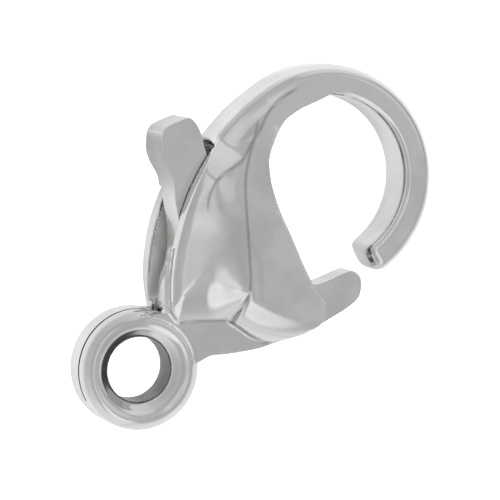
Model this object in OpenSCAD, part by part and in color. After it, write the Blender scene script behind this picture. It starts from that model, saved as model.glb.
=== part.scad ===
// Lobster clasp: a cast body with an eye ring, two cheeks and a hook,
// and a sprung lever whose gate closes the hook.
// Millimetres. The origin is the centre of the ring's hole, +X runs to the hook, +Y to the thumb tab, +Z is up.

/* [Ring] */
// Outer radius of the eye ring
ring_r = 2.05; // [1.8:0.05:2.2]
// Radius of the hole through the eye ring
bore_r = 1.12; // [1:0.05:1.15]
// Bevel round the ring's outer edges
ring_bevel = 0.25; // [0.1:0.05:0.35]
// Bevel round the edges of the hole
bore_bevel = 0.28; // [0.12:0.02:0.3]
// Width of the seam round the outside of the ring
seam_w = 0.06; // [0.04:0.01:0.12]
// Depth of that seam
seam_depth = 0.12; // [0.08:0.02:0.3]

/* [Hook] */
// Thickness of the hook bar, the ring and the web between the ring and the cheeks
bar_t = 2; // [1.8:0.05:2.2]
// Distance from the ring's centre to the hook's centre
span = 9.12; // [9:0.02:9.3]
// Inner radius of the hook
hook_r = 2.82; // [2.76:0.02:2.88]
// Width of the hook bar from its inner wall to its outer wall
hook_w = 1.08; // [0.9:0.02:1.3]
// Where the hook's tip ends, in degrees round the hook's centre from +X
tip_angle = -103.5; // [-104:0.5:-98]
// Bevel along the inner edges of the hook
inner_bevel = 0.2; // [0.1:0.05:0.3]
// Bevel along the outer edges of the hook
outer_bevel = 0.3; // [0.2:0.05:0.4]
// Bevel of the outer edges where the hook grows out of the cheeks
root_bevel = 0.6; // [0.4:0.05:0.7]

/* [Cheeks] */
// Thickness across the flats of both cheeks
body_t = 3.86; // [3.6:0.02:4]
// Radius of the spine between the ring and the hook
spine_r = 8.2; // [8:0.05:8.6]
// Radius of the belly corner
belly_r = 0.75; // [0.65:0.05:0.85]
// Width of the slot between the cheeks
slot_w = 1.9; // [1.84:0.02:1.96]
// Radius of the cheeks' fall towards the spine
spine_fall_r = 9; // [8:0.5:12]
// Radius of the cheeks' fall towards the ring
nose_fall_r = 1.5; // [1.4:0.05:1.8]

/* [Lever] */
// Thickness of the lever's plate, its gate and its heel
lever_t = 1.06; // [0.9:0.02:1.1]
// Thickness of the thumb tab's head
head_t = 1.7; // [1.4:0.02:1.74]
// Radius of the heel round the pivot
heel_r = 2.15; // [2:0.05:2.15]
// How far the thumb tab stands out of the spine
tab_out = 1.58; // [1.3:0.02:1.7]
// Gap between the gate and the hook's tip as the gate swings past
tip_gap = 0.13; // [0.1:0.01:0.2]
// How far the lever opens, in degrees
swing = 22; // [15:1:22]
// Gap between the lever and the walls that it passes
gap = 0.1; // [0.08:0.01:0.12]

/* [Pivot] */
// Metal between the hole of the eye and the heel's pocket
eye_wall = 0.55; // [0.5:0.01:0.6]
// Diameter of the pin
pin_d = 0.8; // [0.6:0.05:0.9]
// Radius of the hub round the pin
hub_r = 0.85; // [0.75:0.05:0.9]
// Radial gap between the pin and the lever's bore
run_gap = 0.03; // [0.02:0.01:0.08]
// Depth of the pin's blind holes from the slot's walls
pin_bed = 0.35; // [0.25:0.05:0.4]

/* [Hidden] */
$fn = 96;
steel = [0.72, 0.72, 0.72];
bar_h = bar_t / 2;
body_h = body_t / 2;
slot_h = slot_w / 2;
lever_h = lever_t / 2;
pocket_h = lever_h + gap;
hook_out_r = hook_r + hook_w;
pivot = [bore_r + eye_wall + gap + heel_r, 0];
pin_r = pin_d / 2;
// Gap between the pin and the blind holes that hold it
pin_seat = 0.01;
// Half the pin's length
pin_h = slot_h + pin_bed - pin_seat;
// Columns of the outline tables
share_x = 0;
share_y = 1;
// The spine's arc: where it meets the hook, where it meets the ring, and its centre
spine_join = 79.5;
spine_start = 142;
spine_c = [span, 0] - (spine_r - hook_out_r) * [cos(spine_join), sin(spine_join)];
// How far the gate reaches from the pivot, short of the hook's tip
hook_tip = [span, 0] + hook_r * [cos(tip_angle), sin(tip_angle)];
gate_reach = norm(hook_tip - pivot) - tip_gap;
// How far the tab reaches from the pivot, in the direction of its far corner
tab_angle = 67;
tab_reach = ray(pivot, tab_angle, spine_c, spine_r + tab_out);
// Centre of the belly corner
belly_c = span * [0.581, -0.263];
// Where the web ends under the slot, at the foot of the gate
web_end = 0.526 * span;
// Angle round the hook's centre at which its bar ends inside the root
root_end = 112;
// Angles round the spine's centre between which the root's back runs, and how far it lies inside the spine
root_back = [74, 98.5];
root_inset = 0.01 * hook_r;

// The opening's edge from the hook over its root and down the throat, in hook radii from the hook's centre
throat = [
    [0.730, 0.720], [0.567, 0.770], [0.387, 0.840], [0.240, 0.880], [0.100, 0.896], [-0.050, 0.866],
    [-0.223, 0.805], [-0.345, 0.755], [-0.450, 0.680], [-0.564, 0.560], [-0.667, 0.415], [-0.780, 0.190],
    [-0.865, -0.064], [-0.965, -0.344], [-1.053, -0.617], [-1.075, -0.700]];
// The crease where the cheeks end on the root, and the throat's row that it reaches
crease = [[-0.700, 1.110], [-0.590, 1.070], [-0.480, 1.090], [-0.280, 1.110]];
crease_row = 6;
// The middle of the root's metal, from its back to the hook, and the throat's row that it ends at
root_inside = [[-0.700, 1.110], [0.000, 1.150], [0.500, 1.080], [0.840, 0.830]];
root_row = 10;
// The foot of the cheeks on the web from the belly to the spine, in spans
foot = [
    [0.525, -0.338], [0.466, -0.316], [0.432, -0.294], [0.400, -0.262], [0.378, -0.210],
    [0.362, -0.136], [0.356, -0.086], [0.329, -0.059], [0.286, -0.020], [0.245, 0.015], [0.222, 0.030]];
// The belly from the corner to the ring, in ring radii
belly = [
    [2.380, -1.510], [2.156, -1.444], [1.668, -1.190], [1.180, -0.840],
    [1.020, -0.690], [0.900, -0.640], [0.780, -0.600]];
// The thumb tab from its left side over the top and down to the throat side, in tab reaches from the pivot
tab = [
    [-0.077, 0.388], [-0.026, 0.421], [0.075, 0.529], [0.127, 0.600], [0.205, 0.660], [0.243, 0.718],
    [0.270, 0.790], [0.301, 0.840], [0.352, 0.885], [0.394, 0.917], [0.430, 0.915], [0.520, 0.872],
    [0.556, 0.860], [0.565, 0.833],
    [0.555, 0.772], [0.527, 0.725], [0.492, 0.671], [0.473, 0.616], [0.417, 0.539]];
// The head is the tab beyond this row, and its lower edge inside the slot
head_row = 3;
head_foot = [[0.320, 0.440], [0.150, 0.470]];
// The lever's hidden edge from the tab down the throat side to the gate, and the gate, in gate reaches
gate = [
    [0.385, 0.462], [0.310, 0.290], [0.280, 0.100], [0.290, -0.115], [0.340, -0.290], [0.404, -0.395],
    [0.469, -0.456], [0.517, -0.496], [0.683, -0.569], [0.725, -0.592], [0.742, -0.625], [0.740, -0.669],
    [0.708, -0.712], [0.658, -0.749], [0.607, -0.760], [0.513, -0.746], [0.398, -0.715],
    [0.283, -0.683], [0.197, -0.655]];
// The gate's arm from the gate's foot to the hub, and the heel's inner edge, in gate reaches
arm = [[0.192, -0.500], [0.144, -0.308], [0.040, -0.185]];
heel_edge = [[-0.150, -0.065], [-0.298, 0.125]];
// Angles at which the heel's arc starts and ends
heel_start = 112;
heel_end = 152;

// A smooth curve through the points p, with n steps from each to the next
function knot(p, i) = p[max(0, min(len(p) - 1, i))];
function between(a, b, c, d, t) =
    (2 * b + (c - a) * t + (2 * a - 5 * b + 4 * c - d) * t * t + (3 * b - a - 3 * c + d) * t * t * t) / 2;
function smooth(p, n) = concat(
    [for (i = [0 : len(p) - 2], j = [0 : n - 1])
        between(knot(p, i - 1), knot(p, i), knot(p, i + 1), knot(p, i + 2), j / n)],
    [knot(p, len(p) - 1)]);
// Shares of the size r counted from the point c, as points
function placed(p, r, c) = [for (q = p) c + r * [q[share_x], q[share_y]]];
// Distance from the point p in the direction a to the circle of radius r about c
function ray(p, a, c, r) = let (d = p - c, b = d * [cos(a), sin(a)]) sqrt(b * b - d * d + r * r) - b;
// Points along an arc
function arc(c, r, a0, a1, n) = [for (i = [0 : n]) let (a = a0 + (a1 - a0) * i / n) c + r * [cos(a), sin(a)]];
// A fall of one that starts and ends level
function ease(t) = (1 - cos(180 * max(0, min(1, t)))) / 2;

module slab(h) translate([0, 0, -h]) linear_extrude(2 * h) children();

// A section whose upper half runs through the points p, with the lower half mirrored below the middle plane
module lens(p) polygon(concat(p, [for (i = [len(p) - 1 : -1 : 0]) [p[i][0], -p[i][1]]]));
// The upper half of a bar's section between two radii, with a bevel at each
function bar_half(r_in, r_out, in_bevel, out_bevel) = [
    [r_in, bar_h - in_bevel], [r_in + in_bevel, bar_h], [r_out - out_bevel, bar_h], [r_out, bar_h - out_bevel]];

// Each fall of the cheeks: its direction, and its start from the ring's centre in spans
spine_fall = [139.8, -0.395];
nose_fall = [229.8, -0.285];
belly_fall = [200.6, -0.409];
root_fall = [50.4, 0.477];
// The root fall's length in spans, and how far below the bar's face it ends
root_length = 0.406;
root_sink = 0.02 * bar_t;
// The slopes that each round fall starts and ends at
spine_slope = [3, 24];
nose_slope = [5, 52];
belly_slope = [14, 78];
// The section of a round fall from the height h, between two slopes, in n steps
function round_fall(r, h, slope, n) = [for (i = [0 : n]) let (a = slope[0] + (slope[1] - slope[0]) * i / n)
    [r * (sin(a) - sin(slope[0])), h - r * (cos(slope[0]) - cos(a))]];
// The section p of a fall, run out both ways along the ridge that the fall starts from
far = 2 * span;
module falling(fall, p)
    rotate([0, 0, fall[0]]) translate([fall[1] * span, far, 0]) rotate([90, 0, 0]) linear_extrude(2 * far)
        lens(concat([[-far, p[0][1]]], p));

// Both cheeks before the slot is cut: their outline, cut down by each fall
function cheek_plan() = concat(
    arc(spine_c, spine_r, spine_start, root_back[1], 12),
    placed(crease, hook_r, [span, 0]),
    smooth(placed([for (i = [crease_row : len(throat) - 1]) throat[i]], hook_r, [span, 0]), 3),
    arc(belly_c, belly_r, -3, -118, 8),
    placed(foot, span, [0, 0]));
module cheeks() intersection() {
    slab(body_h) polygon(cheek_plan());
    falling(spine_fall, round_fall(spine_fall_r, body_h, spine_slope, 8));
    falling(nose_fall, round_fall(nose_fall_r, body_h, nose_slope, 7));
    falling(belly_fall, round_fall(nose_fall_r, body_h, belly_slope, 8));
    falling(root_fall, [for (i = [0 : 12])
        [root_length * span * i / 12, body_h - (body_h - bar_h + root_sink) * ease(i / 12)]]);
}

module hook() translate([span, 0, 0]) rotate([0, 0, tip_angle]) rotate_extrude(angle = root_end - tip_angle)
    lens(bar_half(hook_r, hook_out_r, inner_bevel, outer_bevel));

// The root between the hook and the cheeks: its bevelled back and the thicker metal along the opening
module root() {
    translate([spine_c[0], spine_c[1], 0]) rotate([0, 0, root_back[0]])
        rotate_extrude(angle = root_back[1] - root_back[0])
            lens(bar_half(spine_r - hook_w, spine_r - root_inset, inner_bevel, root_bevel));
    slab(bar_h) polygon(concat(
        placed(root_inside, hook_r, [span, 0]),
        smooth(placed([for (i = [0 : root_row]) throat[i]], hook_r, [span, 0]), 3)));
}

module ring() rotate_extrude() lens(bar_half(bore_r, ring_r, bore_bevel, ring_bevel));

// The web between the ring, the belly and the cheeks
module web() slab(bar_h) polygon(concat(
    [[0.5 * ring_r, 0.75 * ring_r]], arc(spine_c, spine_r, spine_start, 126, 4),
    [[web_end, 0], [web_end, 0.5 * belly_c[1]]],
    smooth(placed(belly, ring_r, [0, 0]), 2), [[0.78 * ring_r, 0]]));

// The room for the plate, the hub and the heel as the lever swings
module pocket() slab(pocket_h) polygon(concat(
    arc(pivot, heel_r + gap, heel_start - 6, heel_end + swing + 6, 12),
    arc(pivot, hub_r + gap, 225, 268, 6),
    placed([for (i = [len(arm) - 1 : -1 : 0]) arm[i]], gate_reach, pivot - [gap, gap]),
    [[web_end, -2 * ring_r], [0.8 * span, -2 * ring_r], [0.8 * span, 0], [0.6 * span, 0.2 * span]]));

// The slot between the cheeks: its end near the eye and its floor, in spans from the ring's centre
slot_floor = [
    [0.222, 0.180], [0.226, 0.112], [0.270, 0.086], [0.360, 0.110], [0.470, 0.125], [0.550, 0.100],
    [0.575, 0.000], [0.560, -0.130], [0.526, -0.230], [0.526, -0.420], [0.750, -0.420], [0.850, -0.100]];
// The slot's wall on the root, in tab reaches from the pivot
slot_wall = [[0.495, 0.143], [0.457, 0.381], [0.559, 0.682], [0.559, 0.825]];
module slot() slab(slot_h) polygon(concat(
    placed(slot_floor, span, [0, 0]),
    placed(slot_wall, tab_reach, pivot)));

module at_pivot(r, h) translate([pivot[0], pivot[1], 0]) cylinder(r = r, h = h, center = true);

// The seam between the ring's two halves, from the spine round to the free end
seam_start = 36;
seam_turn = 130;
module seam() rotate([0, 0, seam_start]) rotate_extrude(angle = seam_turn)
    translate([ring_r - seam_depth, -seam_w / 2]) square([2 * seam_depth, seam_w]);

module body() color(steel) difference() {
    union() {
        difference() {
            union() {
                ring();
                web();
            }
            cylinder(r = bore_r, h = 2 * bar_t, center = true);
        }
        cheeks();
        root();
        hook();
    }
    slot();
    pocket();
    at_pivot(pin_r + pin_seat, 2 * (slot_h + pin_bed));
    seam();
}

function lever_plan() = concat(
    arc(pivot, heel_r, heel_end, heel_start, 8),
    smooth(placed(tab, tab_reach, pivot), 2),
    smooth(placed(gate, gate_reach, pivot), 2),
    placed(arm, gate_reach, pivot),
    arc(pivot, hub_r, 270, 205, 4),
    placed(heel_edge, gate_reach, pivot));

module lever() color(steel) difference() {
    union() {
        slab(lever_h) polygon(lever_plan());
        slab(head_t / 2) polygon(concat(
            smooth(placed([for (i = [head_row : len(tab) - 1]) tab[i]], tab_reach, pivot), 2),
            placed(head_foot, tab_reach, pivot)));
    }
    at_pivot(pin_r + run_gap, 2 * head_t);
}

module pivot_pin() color(steel) at_pivot(pin_r, 2 * pin_h);

body();
lever();
pivot_pin();
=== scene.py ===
import math

import bpy
from mathutils import Matrix, Vector


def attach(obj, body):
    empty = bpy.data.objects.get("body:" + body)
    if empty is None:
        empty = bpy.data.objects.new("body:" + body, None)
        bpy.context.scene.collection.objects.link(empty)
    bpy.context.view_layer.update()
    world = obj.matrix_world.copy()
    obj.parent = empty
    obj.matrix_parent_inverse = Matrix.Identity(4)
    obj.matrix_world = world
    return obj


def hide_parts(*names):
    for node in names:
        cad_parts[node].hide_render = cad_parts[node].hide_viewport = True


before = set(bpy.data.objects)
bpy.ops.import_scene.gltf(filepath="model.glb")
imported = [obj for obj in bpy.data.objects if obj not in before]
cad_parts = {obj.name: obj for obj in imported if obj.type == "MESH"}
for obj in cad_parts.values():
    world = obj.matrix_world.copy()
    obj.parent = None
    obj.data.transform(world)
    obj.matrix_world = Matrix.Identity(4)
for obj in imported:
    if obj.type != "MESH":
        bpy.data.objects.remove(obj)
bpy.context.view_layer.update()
print("clasp: frame loaded,", len(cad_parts), "nodes")

# Pieces are modelled in millimetres about the centre of the eye, and brought to metres when they are done.
# +X runs from the eye to the hook, +Y to the thumb tab and +Z up.
millimetre = 0.001


def clearSelection():
    if bpy.context.object is not None and bpy.context.object.mode != "OBJECT":
        bpy.ops.object.mode_set(mode="OBJECT")
    bpy.ops.object.select_all(action="DESELECT")


def makeActive(piece):
    clearSelection()
    piece.select_set(True)
    bpy.context.view_layer.objects.active = piece


def blendStep(value, low, high):
    share = max(0.0, min(1.0, (value - low) / (high - low)))
    return share * share * (3 - 2 * share)


def arcPoints(centre, radius, start, end, steps):
    angles = [math.radians(start + (end - start) * i / steps) for i in range(steps + 1)]
    return [(centre[0] + radius * math.cos(a), centre[1] + radius * math.sin(a)) for a in angles]


# The unit vector that points at an azimuth and an elevation, both in degrees
def pointingAt(azimuth, elevation):
    turn, rise = math.radians(azimuth), math.radians(elevation)
    return Vector((math.cos(rise) * math.cos(turn), math.cos(rise) * math.sin(turn), math.sin(rise)))


lineSteps = 3  # steps between two given points


# A smooth line through given points
def smoothLine(points, steps):
    line = []
    for i in range(len(points) - 1):
        a, b, c, d = (points[max(0, min(len(points) - 1, i + k))] for k in (-1, 0, 1, 2))
        for j in range(steps):
            t = j / steps
            line.append(tuple(
                (2 * b[k] + (c[k] - a[k]) * t + (2 * a[k] - 5 * b[k] + 4 * c[k] - d[k]) * t ** 2
                 + (3 * b[k] - a[k] - 3 * c[k] + d[k]) * t ** 3) / 2 for k in (0, 1)))
    return line + [points[-1]]


# Puts down one vertex and extrudes it from point to point, and leaves the line selected in edit mode
def tracedLine(name, points):
    clearSelection()
    bpy.ops.mesh.primitive_plane_add(size=0.1, location=points[0])
    traced = bpy.context.object
    traced.name = name
    bpy.ops.object.transform_apply(location=True, rotation=False, scale=False)
    bpy.ops.object.mode_set(mode="EDIT")
    bpy.ops.mesh.select_all(action="SELECT")
    bpy.ops.mesh.merge(type="CENTER")
    for before, after in zip(points, points[1:]):
        reach = Vector(after) - Vector(before)
        bpy.ops.mesh.extrude_region_move(TRANSFORM_OT_translate={"value": reach})
    bpy.ops.mesh.select_all(action="SELECT")
    return traced


# A flat plate with a traced outline, between two heights
def tracedPlate(name, outline, low, high):
    plate = tracedLine(name, [(x, y, low) for x, y in outline])
    bpy.ops.mesh.edge_face_add()
    bpy.ops.mesh.extrude_region_move(TRANSFORM_OT_translate={"value": (0, 0, high - low)})
    return closeShell(plate)


weldDistance = 0.002  # points of a spun bar that are nearer than this are one


# A bar with a traced section, spun about an upright axis
def spunBar(name, section, centre, start, turn, steps):
    angle = math.radians(start)
    along = Vector((math.cos(angle), math.sin(angle), 0))
    points = [Vector((*centre, z)) + r * along for r, z in section]
    bar = tracedLine(name, [tuple(p) for p in points])
    bpy.ops.mesh.edge_face_add()
    bpy.ops.mesh.delete(type="ONLY_FACE")
    bpy.ops.mesh.select_all(action="SELECT")
    bpy.ops.mesh.spin(steps=steps, angle=math.radians(turn), center=(*centre, 0), axis=(0, 0, -1))
    bpy.ops.mesh.select_all(action="SELECT")
    bpy.ops.mesh.remove_doubles(threshold=weldDistance)
    if turn < 360:
        bpy.ops.mesh.fill_holes(sides=0)
    return closeShell(bar)


# Turns the normals outward and leaves edit mode
def closeShell(shell):
    bpy.ops.mesh.select_all(action="SELECT")
    bpy.ops.mesh.normals_make_consistent(inside=False)
    bpy.ops.object.mode_set(mode="OBJECT")
    return shell


def combine(piece, tool, how):
    makeActive(piece)
    step = piece.modifiers.new("combine", "BOOLEAN")
    step.operation = how
    step.solver = "MANIFOLD"
    step.object = tool
    bpy.ops.object.modifier_apply(modifier=step.name)
    bpy.data.objects.remove(tool)
    return piece


# One skin over the joined shapes, with the corners eased as tumbling eases them
def tumble(piece, voxel, passes):
    makeActive(piece)
    piece.data.remesh_voxel_size = voxel
    piece.data.remesh_voxel_adaptivity = 0
    bpy.ops.object.voxel_remesh()
    ease = piece.modifiers.new("ease", "SMOOTH")
    ease.factor = 0.5
    ease.iterations = passes
    bpy.ops.object.modifier_apply(modifier=ease.name)
    return piece


smoothAngle = 40  # degrees; sharper edges stay sharp in the shading


def finishPiece(piece, body, node, material):
    makeActive(piece)
    piece.scale = (millimetre, millimetre, millimetre)
    bpy.ops.object.transform_apply(location=True, rotation=True, scale=True)
    bpy.ops.object.mode_set(mode="EDIT")
    closeShell(piece)
    bpy.ops.object.shade_smooth_by_angle(angle=math.radians(smoothAngle))
    piece.data.materials.clear()
    piece.data.materials.append(material)
    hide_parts(node)
    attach(piece, body)
    print("clasp:", piece.name, len(piece.data.polygons), "faces")


# Materials

def addNode(tree, kind, place, **values):
    node = tree.nodes.new(kind)
    node.location = place
    for name, value in values.items():
        setattr(node, name, value)
    return node


# Faint haze and finger marks on polished metal
polish = {
    "hazeDetail": 3,
    "hazeRoughness": 0.55,
    "patch": (0.42, 0.62),  # the noise values between which a haze patch fades in
    "tint": (0.90, 0.905, 0.89, 1),
    "grainSize": 5200,
    "grainDetail": 2,
    "grainHeight": 0.25,
}


def handledPolishGroup():
    group = bpy.data.node_groups.new("handledPolish", "ShaderNodeTree")
    sockets = (("hazeSize", "INPUT", "Float"), ("hazeStrength", "INPUT", "Float"),
               ("gloss", "INPUT", "Float"), ("metalColour", "INPUT", "Color"),
               ("colour", "OUTPUT", "Color"), ("roughness", "OUTPUT", "Float"),
               ("height", "OUTPUT", "Float"))
    for name, side, kind in sockets:
        group.interface.new_socket(name, in_out=side, socket_type="NodeSocket" + kind)
    inner = addNode(group, "NodeGroupInput", (-900, 0))
    outer = addNode(group, "NodeGroupOutput", (600, 0))
    place = addNode(group, "ShaderNodeTexCoord", (-900, -300))
    haze = addNode(group, "ShaderNodeTexNoise", (-600, 100))
    haze.inputs["Detail"].default_value = polish["hazeDetail"]
    haze.inputs["Roughness"].default_value = polish["hazeRoughness"]
    fine = addNode(group, "ShaderNodeTexNoise", (-600, -300))
    fine.inputs["Scale"].default_value = polish["grainSize"]
    fine.inputs["Detail"].default_value = polish["grainDetail"]
    patch = addNode(group, "ShaderNodeMapRange", (-350, 100), interpolation_type="SMOOTHSTEP")
    patch.inputs["From Min"].default_value, patch.inputs["From Max"].default_value = polish["patch"]
    rough = addNode(group, "ShaderNodeMath", (-100, 0), operation="MULTIPLY_ADD")
    tint = addNode(group, "ShaderNodeMix", (150, 250), data_type="RGBA", blend_type="MULTIPLY")
    tint.inputs["B"].default_value = polish["tint"]
    joinHeight = addNode(group, "ShaderNodeMath", (150, -300), operation="MULTIPLY_ADD")
    joinHeight.inputs[1].default_value = polish["grainHeight"]
    link = group.links.new
    for noise in (haze, fine):
        link(place.outputs["Object"], noise.inputs["Vector"])
    link(inner.outputs["hazeSize"], haze.inputs["Scale"])
    link(haze.outputs["Fac"], patch.inputs["Value"])
    link(patch.outputs["Result"], rough.inputs[0])
    link(inner.outputs["hazeStrength"], rough.inputs[1])
    link(inner.outputs["gloss"], rough.inputs[2])
    link(patch.outputs["Result"], tint.inputs["Factor"])
    link(inner.outputs["metalColour"], tint.inputs["A"])
    link(fine.outputs["Fac"], joinHeight.inputs[0])
    link(haze.outputs["Fac"], joinHeight.inputs[2])
    link(tint.outputs["Result"], outer.inputs["colour"])
    link(rough.outputs[0], outer.inputs["roughness"])
    link(joinHeight.outputs[0], outer.inputs["height"])
    return group


handledPolish = handledPolishGroup()


# The "crease" attribute paints shade into the metal's colour: along the front's creases, on the hook's end
# face and on the lever's narrow sides
def steelMaterial(look):
    material = bpy.data.materials.new(look["name"])
    material.use_nodes = True
    tree = material.node_tree
    shader = tree.nodes["Principled BSDF"]
    shader.inputs["Metallic"].default_value = 1
    marks = addNode(tree, "ShaderNodeGroup", (-500, 0))
    marks.node_tree = handledPolish
    for name in ("hazeSize", "hazeStrength", "gloss", "metalColour"):
        marks.inputs[name].default_value = look[name]
    bump = addNode(tree, "ShaderNodeBump", (-250, -200))
    bump.inputs["Strength"].default_value = 1
    bump.inputs["Distance"].default_value = look["waviness"]
    creased = addNode(tree, "ShaderNodeAttribute", (-500, 300), attribute_name="crease")
    shade = addNode(tree, "ShaderNodeMix", (-250, 200), data_type="RGBA", blend_type="MULTIPLY")
    shade.inputs["B"].default_value = (*[look["creaseShade"]] * 3, 1)
    tree.links.new(creased.outputs["Fac"], shade.inputs["Factor"])
    tree.links.new(marks.outputs["colour"], shade.inputs["A"])
    tree.links.new(shade.outputs["Result"], shader.inputs["Base Color"])
    tree.links.new(marks.outputs["roughness"], shader.inputs["Roughness"])
    tree.links.new(marks.outputs["height"], bump.inputs["Height"])
    tree.links.new(bump.outputs["Normal"], shader.inputs["Normal"])
    return material


bodySteelLook = {"name": "polishedSteel", "hazeSize": 420.0, "hazeStrength": 0.05, "gloss": 0.09,
                 "metalColour": (0.64, 0.64, 0.635, 1), "waviness": 0.0000015, "creaseShade": 0.55}
leverSteelLook = {"name": "polishedLeverSteel", "hazeSize": 520.0, "hazeStrength": 0.06, "gloss": 0.11,
                  "metalColour": (0.63, 0.63, 0.625, 1), "waviness": 0.000002, "creaseShade": 0.42}
pinSteelLook = {"name": "drawnPinSteel", "hazeSize": 900.0, "hazeStrength": 0.12, "gloss": 0.28,
                "metalColour": (0.5, 0.5, 0.5, 1), "waviness": 0.000004, "creaseShade": 1.0}
# The slot's walls: rough, and painted lighter, a painted light in the deep slot
castSteelPaintedLightLook = {"name": "castSteelPaintedLight", "hazeSize": 900.0, "hazeStrength": 0.15, "gloss": 0.5,
                 "metalColour": (0.9, 0.9, 0.89, 1), "waviness": 0.00001, "creaseShade": 1.0}
# The bore's wall: painted darker, a painted shade
boreSteelPaintedShadeLook = {"name": "boreSteelPaintedShade", "hazeSize": 700.0, "hazeStrength": 0.1, "gloss": 0.35,
                 "metalColour": (0.25, 0.25, 0.247, 1), "waviness": 0.000004, "creaseShade": 1.0}
bodySteel = steelMaterial(bodySteelLook)
castSteelPaintedLight = steelMaterial(castSteelPaintedLightLook)
boreSteelPaintedShade = steelMaterial(boreSteelPaintedShadeLook)
leverSteel = steelMaterial(leverSteelLook)
pinSteel = steelMaterial(pinSteelLook)
print("clasp: materials made")

# The cast body

bar = {
    "half": 1.0,  # half the thickness of the ring, the web and the hook
    "hookCentre": (9.12, 0.0),
    "hookInner": 2.82,
    "hookOuter": 3.9,
    "tip": -103.5,  # degrees round the hook's centre
    "root": 92,
    "hookSteps": 110,
    "bevelFrom": 3.54,  # the radius where the outer bevel starts
    "bevelWidens": 40,  # degrees round the hook's centre where it starts to widen towards the root
    "bevelGrowth": 1.1,
    "bevelDrop": 0.1,
    "tipRound": 0.4,  # the length of the rounded tip
    "tipDrop": 0.4,
    # from the middle of the inner wall over the front to the middle of the outer wall: radius, height
    "hookSection": [
        (2.82, 0.0), (2.82, 0.74), (2.85, 0.84), (2.93, 0.94), (3.04, 1.0), (3.55, 1.0), (3.66, 0.965),
        (3.77, 0.87), (3.85, 0.72), (3.89, 0.5), (3.9, 0.25)],
    "spineCentre": (8.34, -4.23),
    "spineRadius": 8.2,
    "rootBack": (78, 99),  # degrees round the spine's centre
    "rootSteps": 16,
    "rootSection": [
        (7.1, 0.0), (7.1, 1.0), (7.465, 1.0), (7.696, 0.935), (7.927, 0.815), (8.095, 0.658), (8.18, 0.45),
        (8.2, 0.2)],
}
# The opening's edge from the hook over its root and down the throat to the belly
throat = [
    (11.18, 2.03), (10.72, 2.17), (10.21, 2.37), (9.80, 2.48), (9.40, 2.53), (8.98, 2.44), (8.49, 2.27),
    (8.15, 2.13), (7.85, 1.92), (7.53, 1.58), (7.24, 1.17), (6.92, 0.54), (6.68, -0.18), (6.40, -0.97),
    (6.15, -1.74), (6.09, -1.97)]
cheekThroat = throat[5:]
rootThroat = throat[:11]
rootInside = [(7.15, 3.13), (9.12, 3.24), (10.53, 3.05), (11.49, 2.34)]
# The web between the ring and the cheeks: an arc round the eye, one along the spine, and the belly's edge
web = {
    "radius": 1.82,
    "arc": (-38, 50),
    "arcSteps": 10,
    "spine": (141.5, 126),
    "spineSteps": 6,
    "end": [(4.8, 0), (4.8, -1.2)],
    "belly": [
        (4.88, -3.10), (4.42, -2.96), (3.42, -2.44), (2.71, -1.93), (2.30, -1.60), (2.09, -1.41),
        (1.86, -1.30), (1.60, -1.23)],
}
bellyCorner = {"centre": (5.30, -2.40), "radius": 0.75, "start": -3, "end": -118}
# The lower edge of the cheeks, from the belly to the eye
foot = [
    (4.79, -3.04), (4.25, -2.80), (3.88, -2.58), (3.58, -2.24), (3.45, -1.87), (3.36, -1.35), (3.22, -0.86),
    (2.96, -0.58), (2.56, -0.22), (2.20, 0.10), (1.98, 0.24)]


# Adds the back half to the front half of a section
def mirroredSection(half):
    return half + [(r, -z) for r, z in reversed(half) if z > 0]


# The hook's outer bevel gets wider towards the root
def hookBar():
    hook = spunBar("hook", mirroredSection(bar["hookSection"]), bar["hookCentre"], bar["tip"],
                   bar["root"] - bar["tip"], bar["hookSteps"])
    for corner in hook.data.vertices:
        across, along = corner.co.x - bar["hookCentre"][0], corner.co.y - bar["hookCentre"][1]
        radius = math.hypot(across, along)
        if along < 0 or radius < bar["bevelFrom"]:
            continue
        share = blendStep(math.degrees(math.atan2(along, across)), bar["bevelWidens"], bar["root"])
        fromOuter = bar["hookOuter"] - radius
        eased = bar["hookOuter"] - fromOuter * (1 + bar["bevelGrowth"] * share)
        corner.co.z *= 1 - bar["bevelDrop"] * share * (1 - fromOuter / (bar["hookOuter"] - bar["bevelFrom"]))
        corner.co.x = bar["hookCentre"][0] + across * eased / radius
        corner.co.y = bar["hookCentre"][1] + along * eased / radius
    return roundTip(hook)


# The bar's free end is rounded
def roundTip(hook):
    middle = (bar["hookInner"] + bar["hookOuter"]) / 2
    for corner in hook.data.vertices:
        across, along = corner.co.x - bar["hookCentre"][0], corner.co.y - bar["hookCentre"][1]
        fromTip = math.radians(math.degrees(math.atan2(along, across)) - bar["tip"]) * middle
        if along > 0 or fromTip > bar["tipRound"]:
            continue
        share = 1 - bar["tipDrop"] * (1 - math.sqrt(max(0.0, 1 - (1 - fromTip / bar["tipRound"]) ** 2)))
        radius = math.hypot(across, along)
        eased = middle + (radius - middle) * share
        corner.co.x = bar["hookCentre"][0] + across * eased / radius
        corner.co.y = bar["hookCentre"][1] + along * eased / radius
        corner.co.z *= share
    return hook


def rootBlock():
    start, end = bar["rootBack"]
    block = spunBar("root", mirroredSection(bar["rootSection"]), bar["spineCentre"], start, end - start,
                    bar["rootSteps"])
    inside = rootInside + smoothLine(rootThroat, lineSteps)
    return combine(block, tracedPlate("rootInside", inside, -bar["half"], bar["half"]), "UNION")


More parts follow.
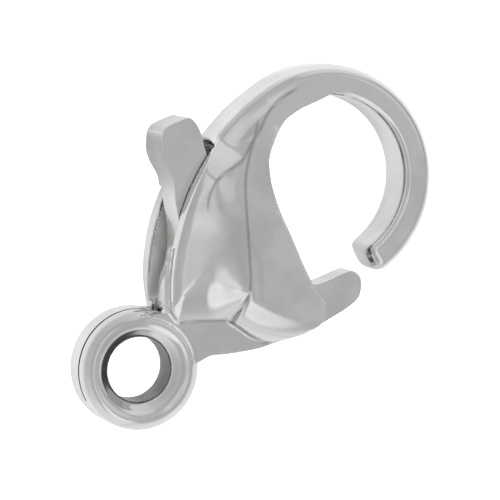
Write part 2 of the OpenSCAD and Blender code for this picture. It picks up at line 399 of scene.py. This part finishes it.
ring = {
    "outer": 2.05,
    "steps": 160,
    # from the middle of the bore's wall over the front to the outer wall: radius, height
    "section": [
        (1.10, 0.0), (1.10, 0.58), (1.12, 0.62), (1.35, 0.82), (1.41, 0.88), (1.50, 0.945), (1.60, 0.985),
        (1.70, 1.0), (1.77, 0.975), (2.03, 0.73), (2.05, 0.67), (2.05, 0.3)],
    "boreWall": (1.13, 0.61),  # the radius and the height up to which the bore's wall has its own skin, painted darker as a painted shade
    "seamSteps": 60,
    "seamWidth": 0.13,
    "seamDepth": 0.16,
    "seamHeight": 0.35,
    "seamStart": 36,
    "seamTurn": 130,
}


def eyeRing():
    return spunBar("ring", mirroredSection(ring["section"]), (0, 0), 0, 360, ring["steps"])


def webPlate():
    outline = (arcPoints((0, 0), web["radius"], *web["arc"], web["arcSteps"])
               + arcPoints(bar["spineCentre"], bar["spineRadius"], *web["spine"], web["spineSteps"])
               + web["end"] + smoothLine(web["belly"], lineSteps))
    return tracedPlate("web", outline, -bar["half"], bar["half"])


# The domed front of a cheek: a flat, and falls towards the spine, the eye, the belly and the hook
dome = {
    "top": 1.935,
    "centre": (5.3, 0.5),
    "size": 8.4,
    "cells": 150,
    "spineFall": {"towards": 139.8, "start": -3.6, "slope": 3, "radius": 9.0},
    "backFall": {"towards": 139.8, "start": -3.6, "slope": 1, "radius": 24.0},  # the back is flatter
    "noseFall": {"towards": 229.8, "start": -3.05, "slope": 10, "curve": 0.158, "level": 1.70, "lag": 2.5},
    # the pillow between the nose and the ridge reaches the ridge's height up to its crest
    # and runs out below it
    "pillow": {"width": 1.45, "crest": 0.45, "height": 0.385, "runOut": 0.26, "round": 0.14},
    "bellyFall": {
        "towards": 199.3, "start": -3.81, "slope": 12, "steepest": 75, "radius": 1.75, "lag": 1.5},
    "bellyEnds": {"towards": 289.3, "start": 2.75, "bend": 0.12},
    "bellyLeft": {"towards": 294.4, "start": 2.22},  # where the belly's face ends beside the nose
    "ridgeBend": {"towards": 49.8, "start": 5.1, "bend": 0.065},
    "hookFall": {"towards": 50.4, "start": 4.35, "length": 3.7, "drop": 0.93, "spineShare": 0.4},
    "ridgeRound": 0.06,  # how softly the nose meets the spine's fall
    "footRound": 0.02,  # the same for the belly and for the root's band
    "lowest": 0.3,
    "noBand": 9.0,  # above everything: no band there
}
# The rounded edge along the cheek's spine: width, the width of its inner bend, slope.
# It fades out towards the root.
spineEdge = {"width": 0.5, "bend": 0.17, "slope": 0.45, "fade": (6.3, 7.1)}
# The edge over the root is rounded more: width, drop; it sets in towards the root
rootRound = {"width": 0.32, "drop": 0.3, "from": (6.3, 7.6)}
# The broad band over the root, at stations: place along X, height of the spine's edge, slope
rootBand = [
    (5.7, 1.405, 0.46), (6.09, 1.365, 0.46), (6.40, 1.23, 0.46), (6.70, 1.07, 0.46), (7.03, 0.865, 0.48),
    (7.39, 0.65, 0.50), (7.89, 0.634, 0.42), (8.36, 0.59, 0.42), (8.63, 0.61, 0.42), (8.90, 0.636, 0.44),
    (9.10, 0.65, 0.45)]


# How far a place lies past the start of a fall
def towards(fall, x, y):
    angle = math.radians(fall["towards"])
    return x * math.cos(angle) + y * math.sin(angle) - fall["start"]


# The drop along a round fall that starts at one slope and runs out straight at another
def roundDrop(distance, fall):
    if distance <= 0:
        return 0.0
    first, last = math.radians(fall["slope"]), math.radians(fall["steepest"])
    rise = math.sin(first) + distance / fall["radius"]
    if rise < math.sin(last):
        return fall["radius"] * (math.cos(first) - math.cos(math.asin(rise)))
    reach = fall["radius"] * (math.sin(last) - math.sin(first))
    return fall["radius"] * (math.cos(first) - math.cos(last)) + (distance - reach) * math.tan(last)


# The lower of two heights, with a rounded change over
def softLower(a, b, width):
    share = max(0.0, min(1.0, 0.5 + 0.5 * (b - a) / width))
    return b + (a - b) * share - width * share * (1 - share)


# How far a place lies inside the spine's edge
def fromSpine(x, y):
    return bar["spineRadius"] - math.hypot(x - bar["spineCentre"][0], y - bar["spineCentre"][1])


# What the rounded edge along the spine takes off
def edgeDrop(x, inside):
    width, bend = spineEdge["width"], spineEdge["bend"]
    slope = spineEdge["slope"] * (1 - blendStep(x, *spineEdge["fade"]))
    if inside >= width:
        return 0.0
    if inside > width - bend:
        return slope * (width - inside) ** 2 / (2 * bend)
    return slope * (bend / 2 + width - bend - inside)


# The height of the band over the root
def bandHeight(x, inside):
    if x <= rootBand[0][0]:
        return dome["noBand"]
    x = min(x, rootBand[-1][0])
    before, after = next((a, b) for a, b in zip(rootBand, rootBand[1:]) if x <= b[0])
    share = (x - before[0]) / (after[0] - before[0])
    edge, slope = (before[k] + share * (after[k] - before[k]) for k in (1, 2))
    outer = max(0.0, 1 - inside / rootRound["width"])
    return edge + slope * inside - rootRound["drop"] * blendStep(x, *rootRound["from"]) * outer ** 2


# The height on the spine's side; pastRidge is how far a place lies beyond the ridge
def spineHeight(pastRidge, spine):
    if pastRidge <= 0:
        return dome["top"]
    fall = math.tan(math.radians(spine["slope"])) * pastRidge + pastRidge ** 2 / (2 * spine["radius"])
    return dome["top"] - fall


# The nose's fall, with the pillow that fills it up beside the ridge
def noseHeight(x, y, pastRidge, beside):
    nose, pillow = dome["noseFall"], dome["pillow"]
    past = towards(nose, x, y) - nose["lag"] * (max(0.0, -pastRidge) + max(0.0, beside))
    base = nose["level"] - math.tan(math.radians(nose["slope"])) * past - nose["curve"] * max(0.0, past) ** 2
    full = pillow["height"] - pillow["runOut"] * max(0.0, past - pillow["crest"]) ** 2
    crest = softLower(dome["top"] - base, full, pillow["round"])
    return base + max(0.0, crest) * (1 - blendStep(pastRidge, 0, pillow["width"]))


def bellyHeight(x, y, beside):
    belly, ends = dome["bellyFall"], dome["bellyEnds"]
    bent = ends["bend"] * towards(ends, x, y) ** 2
    distance = towards(belly, x, y) + bent - belly["lag"] * max(0.0, -beside)
    return dome["top"] - roundDrop(distance, belly)


def hookDrop(x, y, pastRidge):
    hook = dome["hookFall"]
    share = max(0.0, min(1.0, towards(hook, x, y) / hook["length"]))
    lessened = 1 - (1 - hook["spineShare"]) * blendStep(pastRidge, 0, 1)
    return hook["drop"] * (1 - math.cos(math.pi * share)) / 2 * lessened


def domeHeight(x, y, spine):
    bend = dome["ridgeBend"]
    pastRidge = towards(spine, x, y) + bend["bend"] * max(0.0, towards(bend, x, y)) ** 2
    beside = towards(dome["bellyLeft"], x, y)
    nose = noseHeight(x, y, pastRidge, beside)
    height = softLower(spineHeight(pastRidge, spine), nose, dome["ridgeRound"])
    height = softLower(height, bellyHeight(x, y, beside), dome["footRound"]) - hookDrop(x, y, pastRidge)
    inside = fromSpine(x, y)
    height = softLower(height - edgeDrop(x, inside), bandHeight(x, inside), dome["footRound"])
    return max(dome["lowest"], height)


# The spine's edge in degrees round its centre: the cheek's stretch, which can stand back, and the root's
cheekEdge = {"cheek": (141.5, 99.3), "cheekSteps": 24, "root": (99, 85), "rootSteps": 8, "cornerSteps": 12}
frontSetBack = 0.15
coreHalf = 0.5
cheekReach = (0.02, 2.5)  # the heights between which a cheek is cut out of its dome


def cheekOutline(setBack):
    corner = bellyCorner
    return (arcPoints(bar["spineCentre"], bar["spineRadius"] - setBack, *cheekEdge["cheek"],
                      cheekEdge["cheekSteps"])
            + arcPoints(bar["spineCentre"], bar["spineRadius"], *cheekEdge["root"], cheekEdge["rootSteps"])
            + smoothLine(cheekThroat, lineSteps)
            + arcPoints(corner["centre"], corner["radius"], corner["start"], corner["end"],
                        cheekEdge["cornerSteps"])
            + foot)


def cheek(name, side, spine, setBack):
    clearSelection()
    bpy.ops.mesh.primitive_grid_add(x_subdivisions=dome["cells"], y_subdivisions=dome["cells"],
                                    size=dome["size"], location=(*dome["centre"], 0))
    face = bpy.context.object
    face.name = name
    bpy.ops.object.transform_apply(location=True, rotation=False, scale=False)
    for corner in face.data.vertices:
        corner.co.z = side * domeHeight(corner.co.x, corner.co.y, spine)
    bpy.ops.object.mode_set(mode="EDIT")
    bpy.ops.mesh.select_all(action="SELECT")
    bpy.ops.mesh.extrude_region_move(TRANSFORM_OT_translate={"value": (0, 0, 0)})
    bpy.ops.transform.resize(value=(1, 1, 0), center_override=(0, 0, 0))
    closeShell(face)
    low, high = sorted(side * reach for reach in cheekReach)
    return combine(face, tracedPlate("outline", cheekOutline(setBack), low, high), "INTERSECT")


slotCut = {
    "half": 0.96,
    "outline": [
        (2.03, 1.64), (2.06, 1.02), (2.46, 0.78), (3.28, 1.00), (4.29, 1.14), (5.02, 0.91), (5.24, 0.00),
        (5.11, -1.19), (4.80, -2.10), (4.80, -3.83), (6.84, -3.83), (7.75, -0.91), (6.75, 0.82),
        (6.53, 2.20), (7.12, 3.93), (7.12, 4.75)],
    "pocketHalf": 0.64,
    "pocketRadius": 2.25,  # round the pivot: the heel swings in it
    "pocketArc": (106, 196),  # goes on past the solids' pocket, because the heel is longer here
    "pocketSteps": 16,
    "hubRadius": 0.95,
    "hubArc": (225, 262),
    "hubSteps": 6,
    "pocketRest": [
        (4.00, -1.06), (4.55, -1.70), (4.80, -2.70), (4.80, -4.10), (7.30, -4.10), (7.30, 0.0),
        (5.47, 1.82)],
    "skin": (0.02, 0.03),  # how far past the cuts' walls and heights the rough skin, painted lighter, is given out
    "edge": 0.12,  # how far inside the spine's edge it starts
}
pivot = (3.9, 0.0)


def slotPlate():
    return tracedPlate("slot", slotCut["outline"], -slotCut["half"], slotCut["half"])


def pocketPlate():
    outline = (arcPoints(pivot, slotCut["pocketRadius"], *slotCut["pocketArc"], slotCut["pocketSteps"])
               + arcPoints(pivot, slotCut["hubRadius"], *slotCut["hubArc"], slotCut["hubSteps"])
               + slotCut["pocketRest"])
    return tracedPlate("pocket", outline, -slotCut["pocketHalf"], slotCut["pocketHalf"])


def seamBand():
    r, depth = ring["outer"], ring["seamDepth"]
    low, high = (ring["seamHeight"] + side * ring["seamWidth"] / 2 for side in (-1, 1))
    section = [(r - depth, low), (r + depth, low), (r + depth, high), (r - depth, high)]
    return spunBar("seam", section, (0, 0), ring["seamStart"], ring["seamTurn"], ring["seamSteps"])


bodySkin = {"voxel": 0.0595, "passes": 6}


def makeBody():
    piece = eyeRing()
    combine(piece, webPlate(), "UNION")
    combine(piece, cheek("cheekFront", 1, dome["spineFall"], frontSetBack), "UNION")
    combine(piece, cheek("cheekBack", -1, dome["backFall"], 0.0), "UNION")
    core = tracedPlate("core", cheekOutline(0.0), -coreHalf, coreHalf)
    combine(piece, core, "UNION")
    combine(piece, rootBlock(), "UNION")
    combine(piece, hookBar(), "UNION")
    combine(piece, slotPlate(), "DIFFERENCE")
    combine(piece, pocketPlate(), "DIFFERENCE")
    tumble(piece, **bodySkin)
    combine(piece, seamBand(), "DIFFERENCE")
    piece.name = "clasp_body"
    return piece


# Counts the outline's edges to the right of a place
def isInside(outline, x, y):
    inside = False
    for (ax, ay), (bx, by) in zip(outline, outline[1:] + outline[:1]):
        if (ay > y) != (by > y) and x < ax + (bx - ax) * (y - ay) / (by - ay):
            inside = not inside
    return inside


# The walls of the slot and the pocket are left rough, as the polishing didn't reach them, and are painted
# lighter, a painted light in the deep slot; the bore's wall is painted darker, a painted shade, and is a
# little rough
def lineSlot(piece):
    piece.data.materials.append(castSteelPaintedLight)
    piece.data.materials.append(boreSteelPaintedShade)
    wider, higher = slotCut["skin"]
    pocket = arcPoints(pivot, slotCut["pocketRadius"] + wider, *slotCut["pocketArc"], slotCut["pocketSteps"])
    pocket = pocket + slotCut["pocketRest"]
    boreRadius, boreHeight = ring["boreWall"]
    for face in piece.data.polygons:
        x, y, z = face.center / millimetre
        wide = abs(z) < slotCut["half"] + higher and isInside(slotCut["outline"], x, y)
        deep = abs(z) < slotCut["pocketHalf"] + higher and isInside(pocket, x, y)
        if (wide or deep) and fromSpine(x, y) > slotCut["edge"]:
            face.material_index = 1
        elif math.hypot(x, y) < boreRadius and abs(z) < boreHeight:
            face.material_index = 2


# Where two faces of the front meet: the ridge, the edge of the root's band, and the foot; painted shade
# darkens the metal along them
creaseLines = [
    [(8.78, 3.31), (8.29, 2.96), (7.46, 2.57), (6.72, 2.11), (5.92, 1.33), (4.80, -0.02), (4.39, -0.42),
     (3.93, -0.71), (3.53, -0.86), (3.30, -0.86)],
    [(5.10, 2.42), (5.53, 2.78), (6.11, 2.98), (6.67, 2.92), (7.11, 2.74), (7.52, 2.75), (7.99, 2.87),
     (8.49, 2.95), (9.10, 3.16), (9.75, 3.22), (10.50, 3.00)],
    [(1.75, 0.32), (2.15, 0.20), (2.72, -0.33), (3.24, -0.88), (3.38, -1.36), (3.55, -2.20), (3.86, -2.58),
     (4.20, -2.78)],
]
crease = {
    "width": 0.07,
    "end": 0.4,  # the length over which a crease's painted shade fades in
    "fromHeight": 0.9,  # the painted crease shade goes on the front only, above this height
    "facing": -0.1,
}
# The hook's end face is painted darker, a painted shade: how much, how near a place has to be to it,
# and the degrees over which it fades
tipShade = {"shade": 0.45, "near": 0.8, "beside": 0.6, "fade": (1, 7)}


# How strongly a place is darkened by painted shade along the crease lines
def creaseMark(place, lines):
    mark = 0.0
    for line in lines:
        for start, end in zip(line, line[1:]):
            share = max(0.0, min(1.0, (place - start).dot(end - start) / (end - start).length_squared))
            distance = (start + (end - start) * share - place).length
            if distance < crease["width"]:
                fromEnd = min((place - line[0]).length, (place - line[-1]).length)
                mark = max(mark, (1 - distance / crease["width"]) * blendStep(fromEnd, 0, crease["end"]))
    return mark


# Paints shade along the crease lines and on the hook's end face
def markCreases(piece):
    lines = [[Vector((x, y)) for x, y in smoothLine(line, lineSteps)] for line in creaseLines]
    marks = piece.data.attributes.new("crease", "FLOAT", "POINT")
    middle = (bar["hookInner"] + bar["hookOuter"]) / 2
    tip = Vector(arcPoints(bar["hookCentre"], middle, bar["tip"], bar["tip"] + 90, 1)[0])
    fadeStart, fadeEnd = (bar["tip"] + fade for fade in tipShade["fade"])
    for corner in piece.data.vertices:
        place = corner.co / millimetre
        if (place.to_2d() - tip).length < tipShade["near"] and place.x > tip.x - tipShade["beside"]:
            along = math.degrees(math.atan2(place.y - bar["hookCentre"][1], place.x - bar["hookCentre"][0]))
            marks.data[corner.index].value = tipShade["shade"] * (1 - blendStep(along, fadeStart, fadeEnd))
        elif place.z >= crease["fromHeight"] and corner.normal.z >= crease["facing"]:
            marks.data[corner.index].value = creaseMark(place.to_2d(), lines)


body = makeBody()
finishPiece(body, "clasp_body", "body", bodySteel)
lineSlot(body)
markCreases(body)

# The lever

leverPlan = {
    "half": 0.53,
    "headHalf": 0.87,
    "heel": [
        (1.92, 0.45), (2.00, 0.68), (2.32, 0.99), (2.75, 1.37), (3.29, 1.66), (3.74, 2.00), (4.14, 2.41),
        (4.48, 2.88), (4.77, 3.31), (5.03, 3.62)],
    "head": [
        (5.03, 3.62), (5.22, 3.90), (5.34, 4.40), (5.50, 4.76), (5.72, 5.02), (6.00, 5.25), (6.17, 5.30),
        (6.38, 5.27), (6.90, 5.06), (7.06, 4.96), (7.10, 4.75), (7.04, 4.45), (6.90, 4.13), (6.74, 3.87),
        (6.63, 3.55), (6.30, 3.11)],
    "headFoot": [(5.74, 2.54), (5.10, 2.71)],
    # of the front face, inside the slot
    "frontFoot": [(5.60, 2.20), (4.60, 1.75), (3.60, 1.45), (3.12, 1.42)],
    "frontHeel": 4,  # the point of the heel line where the front face starts
    "frontBack": -0.1,  # the height at which the front face's plate ends
    "headEdges": (0.10, 0.22),  # how much is taken off the head's front and back edges
    "headSteps": (1, 3),  # and in how many steps
    "gateEdge": 0.09,
    "gate": [
        (5.90, 2.40), (5.51, 1.51), (5.35, 0.52), (5.41, -0.60), (5.67, -1.51), (6.00, -2.05), (6.34, -2.37),
        (6.58, -2.58), (7.45, -2.95), (7.66, -3.07), (7.75, -3.25), (7.74, -3.47), (7.58, -3.70),
        (7.32, -3.89), (7.05, -3.95), (6.56, -3.87), (5.97, -3.71), (5.37, -3.55), (4.92, -3.40)],
    "arm": [(4.90, -2.60), (4.65, -1.60), (4.11, -0.96)],
    "heelEdge": [(3.12, -0.34), (2.35, 0.65)],
    "hubRadius": 0.85,
    "hubArc": (270, 205),
    "hubSteps": 6,
    "boreRadius": 0.43,
    "boreReach": 2,
    "boreSteps": 48,
    "axis": 0.0001,  # a spun section starts this far from its axis
}
leverSkin = {"voxel": 0.04, "passes": 5}
# The sides that get painted shade: their direction in degrees, how squarely a face has to look that way,
# and the share of painted shade they get
shadedSides = {
    "eye": {"towards": 170, "from": 0.55, "to": 0.8, "share": 1},
    "top": {"towards": 75, "from": 0.6, "to": 0.85, "share": 0.6},
    "sides": ("eye", "top"),
    "rise": (3.1, 4.3),  # along Y, from none to all
}


squareEnough = 0.9  # how squarely a face has to look up or down to be a plate's front or back


# Takes the edges off a plate's front or back face
def easeFace(plate, side, width, steps):
    makeActive(plate)
    for face in plate.data.polygons:
        face.select = side * face.normal.z > squareEnough
    bpy.ops.object.mode_set(mode="EDIT")
    bpy.ops.mesh.select_mode(type="FACE")
    bpy.ops.mesh.region_to_loop()
    bpy.ops.mesh.bevel(offset=width, offset_type="OFFSET", segments=steps, affect="EDGES")
    bpy.ops.mesh.select_mode(type="VERT")
    return closeShell(plate)


def makeLever():
    plan = leverPlan
    head = smoothLine(plan["head"], lineSteps)
    outline = (smoothLine(plan["heel"], lineSteps) + head + smoothLine(plan["gate"], lineSteps) + plan["arm"]
               + arcPoints(pivot, plan["hubRadius"], *plan["hubArc"], plan["hubSteps"]) + plan["heelEdge"])
    piece = tracedPlate("lever", outline, -plan["half"], plan["half"])
    easeFace(piece, 1, plan["gateEdge"], 1)
    back = tracedPlate("headBack", head + plan["headFoot"], -plan["headHalf"], 0)
    easeFace(back, -1, plan["headEdges"][1], plan["headSteps"][1])
    combine(piece, back, "UNION")
    stem = smoothLine(plan["heel"][plan["frontHeel"]:], lineSteps)[:-1]
    front = tracedPlate("headFront", stem + head + plan["frontFoot"], plan["frontBack"], plan["headHalf"])
    easeFace(front, 1, plan["headEdges"][0], plan["headSteps"][0])
    combine(piece, front, "UNION")
    axis, radius, reach = plan["axis"], plan["boreRadius"], plan["boreReach"]
    section = [(axis, -reach), (radius, -reach), (radius, reach), (axis, reach)]
    combine(piece, spunBar("bore", section, pivot, 0, 360, plan["boreSteps"]), "DIFFERENCE")
    tumble(piece, **leverSkin)
    piece.name = "clasp_lever"
    return piece


def sideShadeShare(normal, side):
    angle = math.radians(side["towards"])
    facing = normal.x * math.cos(angle) + normal.y * math.sin(angle)
    return side["share"] * blendStep(facing, side["from"], side["to"])


# The tab's narrow sides get painted shade, darker than its faces: less at the top, more towards the eye
def paintSideShade(piece):
    marks = piece.data.attributes.new("crease", "FLOAT", "POINT")
    for corner in piece.data.vertices:
        fade = blendStep(corner.co.y / millimetre, *shadedSides["rise"])
        strongest = max(sideShadeShare(corner.normal, shadedSides[side]) for side in shadedSides["sides"])
        marks.data[corner.index].value = fade * strongest


lever = makeLever()
finishPiece(lever, "clasp_lever", "lever", leverSteel)
paintSideShade(lever)

# The hidden pin keeps its own mesh
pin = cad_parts["pivot_pin"]
pin.data.materials.clear()
pin.data.materials.append(pinSteel)

# Camera, floor and light

photoView = {
    "azimuth": 118.3,  # round from +X towards +Y
    "elevation": 69.5,
    "roll": 46.0,  # how far the clasp's +X is turned up from the picture's right
    "aim": (3.919, 3.959),  # of the picture's middle from the eye, to the right and up, in millimetres
    "distance": 101.35,
    "lens": 216,
    "sensor": 36,
    "clip": (0.005, 2),  # metres
}


def placeCamera():
    back = pointingAt(photoView["azimuth"], photoView["elevation"])
    roll = math.radians(photoView["roll"])
    across = Vector((1, 0, 0)) - back * back.x
    across.normalize()
    upright = back.cross(across)
    right = math.cos(roll) * across - math.sin(roll) * upright
    up = math.sin(roll) * across + math.cos(roll) * upright
    data = bpy.data.cameras.new("photoCamera")
    data.lens = photoView["lens"]
    data.sensor_width = photoView["sensor"]
    data.clip_start, data.clip_end = photoView["clip"]
    camera = bpy.data.objects.new("photoCamera", data)
    bpy.context.scene.collection.objects.link(camera)
    place = photoView["aim"][0] * right + photoView["aim"][1] * up + photoView["distance"] * back
    turn = Matrix((right, up, back)).transposed().to_4x4()
    camera.matrix_world = Matrix.Translation(place * millimetre) @ turn
    bpy.context.scene.camera = camera


card = {
    "height": -1.93,  # of the clasp's lowest point, in millimetres
    "middle": 0.006,  # along X, in metres, as is the radius
    "radius": 0.5,
    "corners": 96,
    "colour": (0.85, 0.85, 0.85, 1),
    "roughness": 0.95,
    "glow": (0.75, 0.1),  # the light it gives off to the camera, and besides to everything
}


def makeFloor():
    clearSelection()
    bpy.ops.mesh.primitive_circle_add(vertices=card["corners"], radius=card["radius"], fill_type="NGON",
                                      location=(card["middle"], 0, card["height"] * millimetre))
    floor = bpy.context.object
    floor.name = "floor"
    material = bpy.data.materials.new("whiteCard")
    material.use_nodes = True
    tree = material.node_tree
    shader = tree.nodes["Principled BSDF"]
    shader.inputs["Base Color"].default_value = card["colour"]
    shader.inputs["Roughness"].default_value = card["roughness"]
    shader.inputs["Specular IOR Level"].default_value = 0
    shader.inputs["Emission Color"].default_value = (1, 1, 1, 1)
    path = addNode(tree, "ShaderNodeLightPath", (-500, -200))
    whiten = addNode(tree, "ShaderNodeMath", (-250, -200), operation="MULTIPLY_ADD")
    whiten.inputs[1].default_value, whiten.inputs[2].default_value = card["glow"]
    tree.links.new(path.outputs["Is Camera Ray"], whiten.inputs[0])
    tree.links.new(whiten.outputs[0], shader.inputs["Emission Strength"])
    floor.data.materials.append(material)


# The studio: a grey dome overhead that gets lighter towards the floor, and soft boxes
studio = {
    # the upward part of the direction, brightness
    "levels": [
        (0.0, 1.10), (0.18, 1.00), (0.38, 0.72), (0.55, 0.62), (0.90, 0.71), (0.94, 0.69), (0.965, 0.62),
        (1.0, 0.60)],
    # azimuth and elevation of the middle, half width and half height in degrees, softness, strength
    "boxes": [
        (220, 38, 17, 21, 0.6, 0.55), (180, 75, 16, 16, 0.6, 0.15), (90, 68, 17, 26, 0.6, 0.22),
        (24, 30, 22, 13, 0.5, 0.25), (335, 48, 15, 15, 0.6, 0.16), (333, 14, 24, 14, 0.7, -0.25),
        (207, 64, 10, 12, 0.7, 0.32)],
}


# A lit patch of the sky with soft edges; a negative strength makes a dark one
def softBox(tree, place, box):
    azimuth, elevation, halfWidth, halfHeight, softness, strength = box
    halfWidth, halfHeight = math.radians(halfWidth), math.radians(halfHeight)
    ahead = pointingAt(azimuth, elevation)
    across = pointingAt(azimuth + 90, 0)
    upright = ahead.cross(across)
    parts = []
    for axis, reach in ((across, math.sin(halfWidth)), (upright, math.sin(halfHeight))):
        dot = addNode(tree, "ShaderNodeVectorMath", (-1000, -300), operation="DOT_PRODUCT")
        dot.inputs[1].default_value = axis / reach
        raised = addNode(tree, "ShaderNodeMath", (-800, -300), operation="POWER")
        raised.inputs[1].default_value = 2
        size = addNode(tree, "ShaderNodeMath", (-900, -300), operation="ABSOLUTE")
        tree.links.new(place.outputs["Generated"], dot.inputs[0])
        tree.links.new(dot.outputs["Value"], size.inputs[0])
        tree.links.new(size.outputs[0], raised.inputs[0])
        parts.append(raised.outputs[0])
    far = addNode(tree, "ShaderNodeMath", (-600, -300), operation="ADD")
    edge = addNode(tree, "ShaderNodeMapRange", (-400, -300), interpolation_type="SMOOTHERSTEP")
    edge.inputs["From Min"].default_value = 1 + softness
    edge.inputs["From Max"].default_value = 1 - softness
    edge.inputs["To Max"].default_value = strength
    facing = addNode(tree, "ShaderNodeVectorMath", (-600, -500), operation="DOT_PRODUCT")
    facing.inputs[1].default_value = ahead
    front = addNode(tree, "ShaderNodeMath", (-400, -500), operation="GREATER_THAN")
    front.inputs[1].default_value = 0
    lit = addNode(tree, "ShaderNodeMath", (-200, -300), operation="MULTIPLY")
    link = tree.links.new
    link(parts[0], far.inputs[0])
    link(parts[1], far.inputs[1])
    link(far.outputs[0], edge.inputs["Value"])
    link(place.outputs["Generated"], facing.inputs[0])
    link(facing.outputs["Value"], front.inputs[0])
    link(edge.outputs["Result"], lit.inputs[0])
    link(front.outputs[0], lit.inputs[1])
    return lit.outputs[0]


def lightStudio():
    world = bpy.data.worlds.new("studio")
    bpy.context.scene.world = world
    world.use_nodes = True
    tree = world.node_tree
    background = tree.nodes["Background"]
    background.inputs["Color"].default_value = (1, 1, 1, 1)
    place = addNode(tree, "ShaderNodeTexCoord", (-1400, 0))
    split = addNode(tree, "ShaderNodeSeparateXYZ", (-1200, 100))
    ramp = addNode(tree, "ShaderNodeValToRGB", (-1000, 100))
    link = tree.links.new
    link(place.outputs["Generated"], split.inputs[0])
    link(split.outputs["Z"], ramp.inputs["Fac"])
    levels = studio["levels"]
    strongest = max(value for _, value in levels)
    stops = ramp.color_ramp.elements
    for at, value in levels:
        stop = stops[0] if at == 0 else stops[len(stops) - 1] if at == 1 else stops.new(at)
        stop.color = (*[value / strongest] * 3, 1)
    total = addNode(tree, "ShaderNodeMath", (-700, 100), operation="MULTIPLY")
    total.inputs[1].default_value = strongest
    link(ramp.outputs["Color"], total.inputs[0])
    for box in studio["boxes"]:
        add = addNode(tree, "ShaderNodeMath", (0, 100), operation="ADD")
        link(total.outputs[0], add.inputs[0])
        link(softBox(tree, place, box), add.inputs[1])
        total = add
    link(total.outputs[0], background.inputs["Strength"])
    bpy.context.scene.view_settings.view_transform = "Standard"


# A weak soft lamp that lights the floor, so that it stays darker under the clasp than in the open
overheadLamp = {"azimuth": 75, "elevation": 68, "distance": 0.16, "size": 0.1, "power": 0.16}


def hangLamp():
    away = pointingAt(overheadLamp["azimuth"], overheadLamp["elevation"])
    data = bpy.data.lights.new("overheadLamp", "AREA")
    data.size = overheadLamp["size"]
    data.energy = overheadLamp["power"]
    lamp = bpy.data.objects.new("overheadLamp", data)
    bpy.context.scene.collection.objects.link(lamp)
    turn = away.to_track_quat("Z", "Y").to_matrix().to_4x4()
    place = Vector((card["middle"], 0, 0)) + away * overheadLamp["distance"]
    lamp.matrix_world = Matrix.Translation(place) @ turn
    lamp.visible_glossy = False


placeCamera()
makeFloor()
hangLamp()
lightStudio()
print("clasp: camera, floor and light placed")
